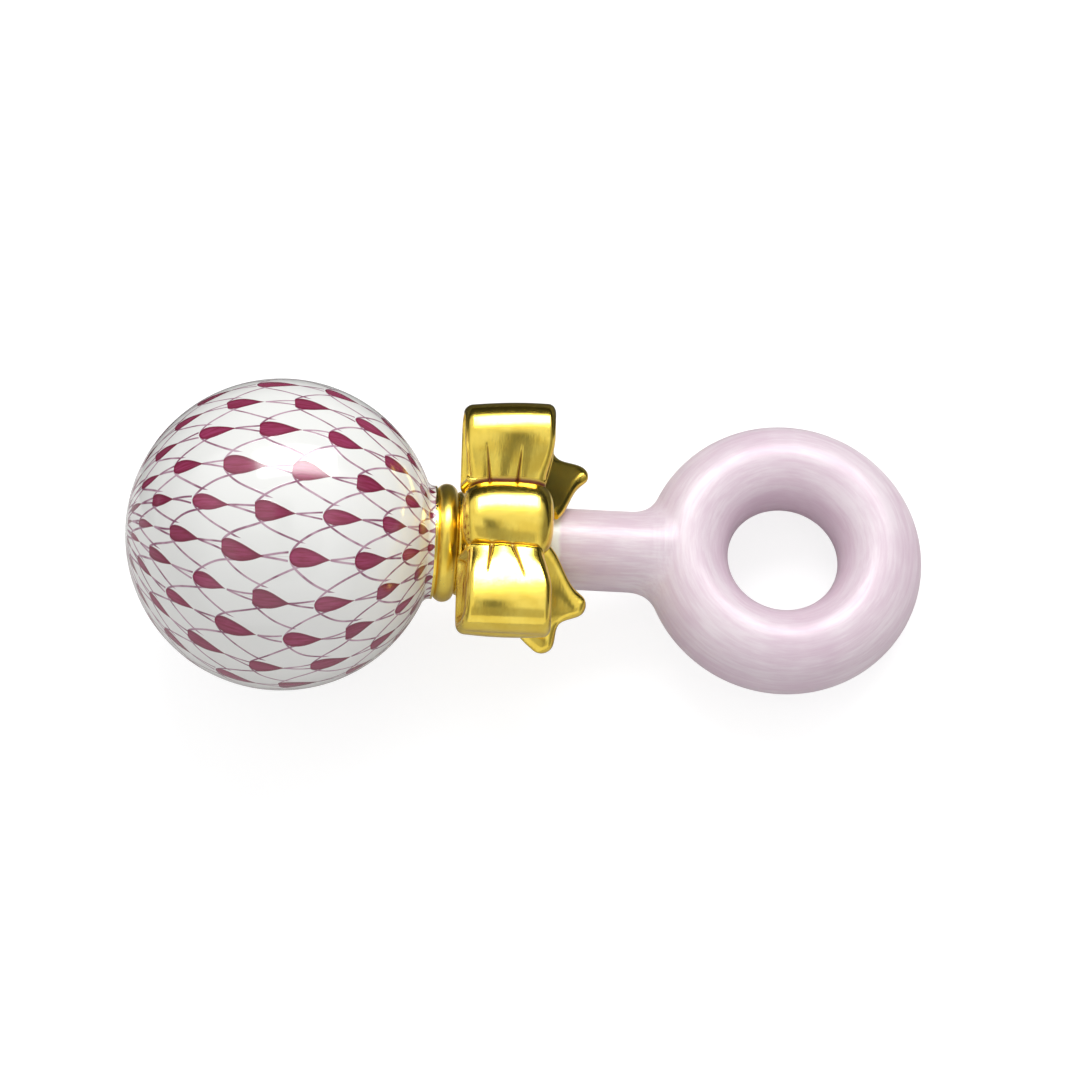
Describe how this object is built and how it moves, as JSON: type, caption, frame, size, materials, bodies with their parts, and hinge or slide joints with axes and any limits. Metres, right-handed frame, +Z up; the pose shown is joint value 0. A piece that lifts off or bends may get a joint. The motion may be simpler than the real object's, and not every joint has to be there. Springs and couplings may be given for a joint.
{
  "type": "baby rattle",
  "caption": "Hollow porcelain ball with loose pellets sealed inside, joined by a gilded collar and ribbon bow to a short stem and a ring handle that a finger goes through.",
  "frame": {"origin": "on the table under the middle of the rattle's bounding box", "axes": "+X from the ball towards the ring handle, level with the table; +Z up, to the side of the bow; +Y completes a right-handed frame. The rattle's own long axis dips 10.88 degrees below +X, because the rattle rests on its ball and on the far side of its ring."},
  "size_m": [0.1292, 0.051, 0.0506],
  "materials": {
    "white_glaze": "gloss",
    "gilding": "polished",
    "lilac_glaze": "gloss",
    "biscuit": "matte"
  },
  "bodies": {
    "rattle": {"ball_end_shell": "white_glaze", "ball_neck_shell": "white_glaze", "neck_stopper": "biscuit", "collar_bead": "gilding", "collar_astragal": "gilding", "ribbon_band": "gilding", "bow_knot": "gilding", "bow_loop_right": "gilding", "bow_loop_left": "gilding", "bow_tail_right": "gilding", "bow_tail_left": "gilding", "handle_stem": "lilac_glaze", "handle_ring": "lilac_glaze"},
    "loose_pellet_1": {"pellet_1": "biscuit"},
    "loose_pellet_2": {"pellet_2": "biscuit"},
    "loose_pellet_3": {"pellet_3": "biscuit"},
    "loose_pellet_4": {"pellet_4": "biscuit"},
    "loose_pellet_5": {"pellet_5": "biscuit"}
  },
  "joints": [
    {"name": "pellet_1_roll", "type": "hinge", "parent": "rattle", "child": "loose_pellet_1", "pos_m": [-0.03906, 0, 0.0251], "axis": [0.982, 0, -0.1887], "continuous": true},
    {"name": "pellet_2_roll", "type": "hinge", "parent": "rattle", "child": "loose_pellet_2", "pos_m": [-0.03906, 0, 0.0251], "axis": [0.982, 0, -0.1887], "continuous": true},
    {"name": "pellet_3_roll", "type": "hinge", "parent": "rattle", "child": "loose_pellet_3", "pos_m": [-0.03906, 0, 0.0251], "axis": [0.982, 0, -0.1887], "continuous": true},
    {"name": "pellet_4_roll", "type": "hinge", "parent": "rattle", "child": "loose_pellet_4", "pos_m": [-0.03906, 0, 0.0251], "axis": [0.982, 0, -0.1887], "continuous": true},
    {"name": "pellet_5_roll", "type": "hinge", "parent": "rattle", "child": "loose_pellet_5", "pos_m": [-0.03906, 0, 0.0251], "axis": [0.982, 0, -0.1887], "continuous": true}
  ]
}
